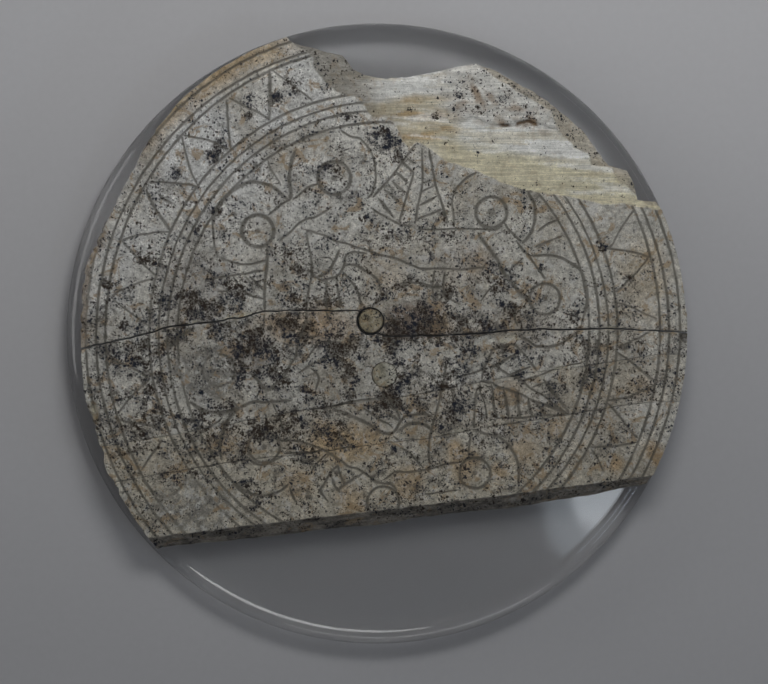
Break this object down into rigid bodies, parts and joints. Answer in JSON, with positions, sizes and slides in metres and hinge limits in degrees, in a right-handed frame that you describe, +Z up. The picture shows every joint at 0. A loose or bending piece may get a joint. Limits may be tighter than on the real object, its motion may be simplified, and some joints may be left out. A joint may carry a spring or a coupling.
{
  "type": "engraved disc on display mount",
  "caption": "Broken round engraved plate in rejoined fragments with small round pegs, lying on a clear round display disc with polished rounded edges.",
  "frame": {"origin": "centre of the clear disc's underside, which is the bottom centre of the whole object", "axes": "+Z is up out of the engraved face, +Y points to the top of the engraved design with the lower break towards -Y, and +X to its right-hand side"},
  "size_m": [0.1016, 0.1016, 0.0095],
  "materials": {
    "clear_plastic": "clear, polished",
    "engraved_plate": "worn, engraved, stained, layered",
    "smooth_peg": "smooth satin"
  },
  "bodies": {
    "display_mount": {"display_disc": "clear_plastic"},
    "upper_part": {"upper_fragment": "engraved_plate"},
    "lower_plate": {"middle_fragment": "engraved_plate", "strip_fragment": "engraved_plate", "lower_fragment": "engraved_plate", "second_peg": "smooth_peg"},
    "loose_peg": {"centre_peg": "smooth_peg"}
  },
  "joints": [
    {"name": "upper_fragment_lift", "type": "slide", "parent": "display_mount", "child": "upper_part", "axis": [0, 0, 1], "range_m": [0, 0.03]},
    {"name": "lower_plate_lift", "type": "slide", "parent": "display_mount", "child": "lower_plate", "axis": [0, 0, 1], "range_m": [0, 0.03]},
    {"name": "centre_peg_lift", "type": "slide", "parent": "display_mount", "child": "loose_peg", "axis": [0, 0, 1], "range_m": [0, 0.03]}
  ]
}
